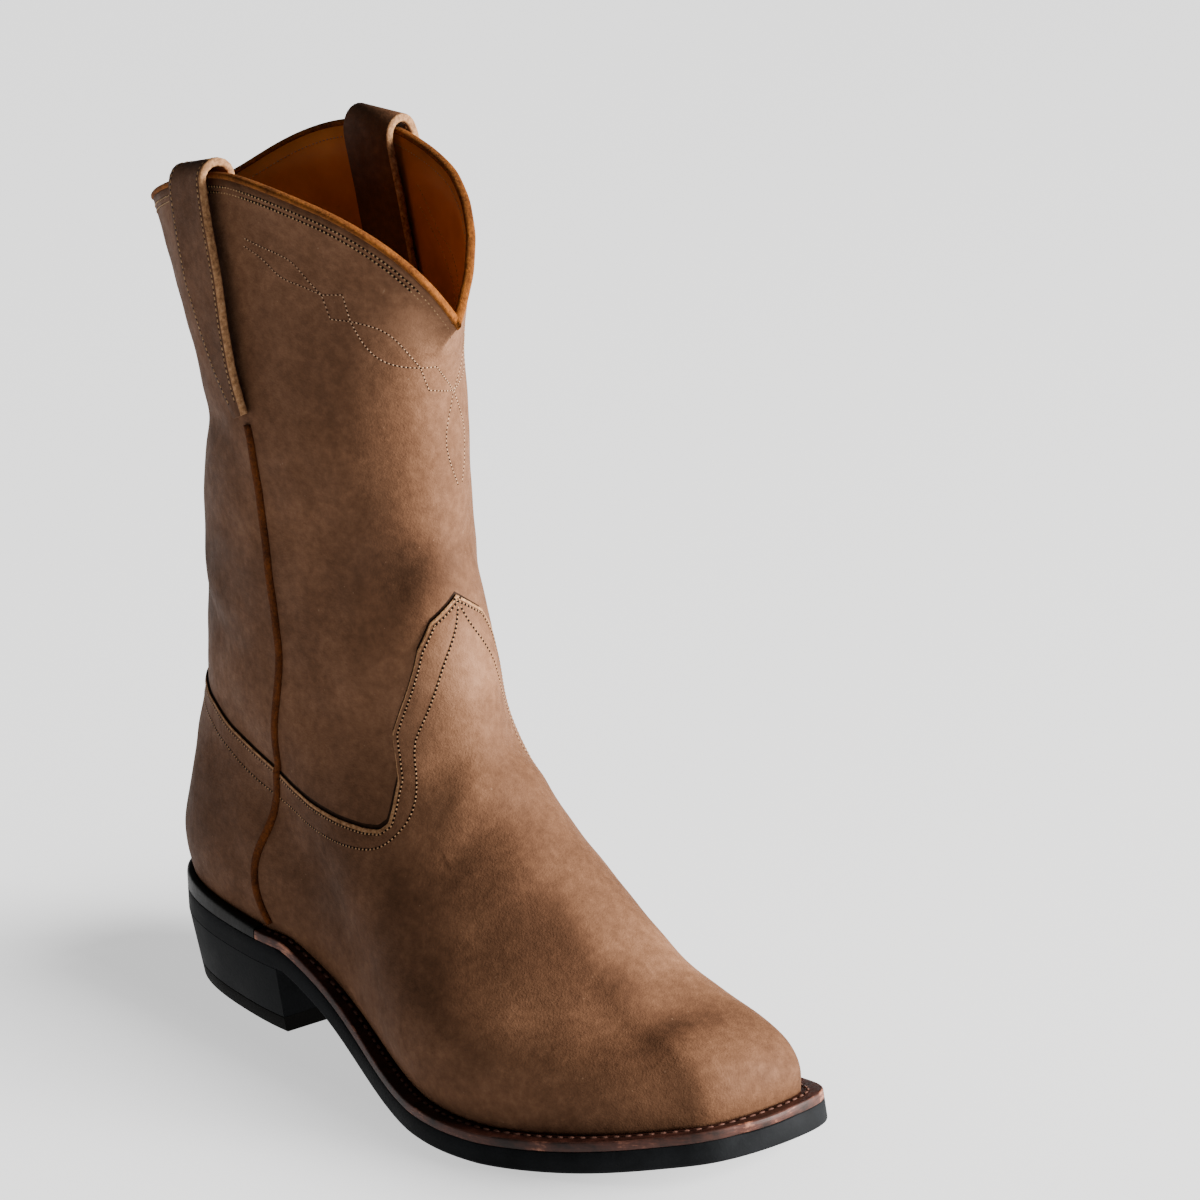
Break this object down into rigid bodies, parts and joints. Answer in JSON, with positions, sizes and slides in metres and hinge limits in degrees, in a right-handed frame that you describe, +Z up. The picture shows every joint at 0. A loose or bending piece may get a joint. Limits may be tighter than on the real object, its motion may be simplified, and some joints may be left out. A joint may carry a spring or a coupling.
{
  "type": "roper_boot",
  "caption": "Brown leather roper boot for the right foot, with a scalloped collar, side pull straps, a stitched welt and a low black rubber heel",
  "frame": {"origin": "middle of the heel's walking face, on the floor", "axes": "+X toe, +Y inner (medial) side, +Z up"},
  "size_m": [0.3191, 0.1126, 0.3257],
  "materials": {
    "outsole": "satin black rubber",
    "heel_block": "satin black rubber",
    "top_lift": "matte dark rubber",
    "insole": "smooth tan leather",
    "welt": "waxed dark red-brown leather",
    "heel_rand": "polished black leather",
    "upper": "oiled brown leather with a rough matte surface",
    "collar_binding": "rust tan suede",
    "side_piping_lateral": "rust tan suede",
    "side_piping_medial": "rust tan suede",
    "pull_strap_lateral": "oiled brown leather with raw tan edges",
    "pull_strap_medial": "oiled brown leather with raw tan edges"
  },
  "bodies": {
    "root": {"outsole": "outsole", "heel_block": "heel_block", "top_lift": "top_lift", "insole": "insole", "welt": "welt", "heel_rand": "heel_rand", "upper": "upper", "collar_binding": "collar_binding", "side_piping_lateral": "side_piping_lateral", "side_piping_medial": "side_piping_medial", "pull_strap_lateral": "pull_strap_lateral", "pull_strap_medial": "pull_strap_medial"}
  },
  "joints": []
}
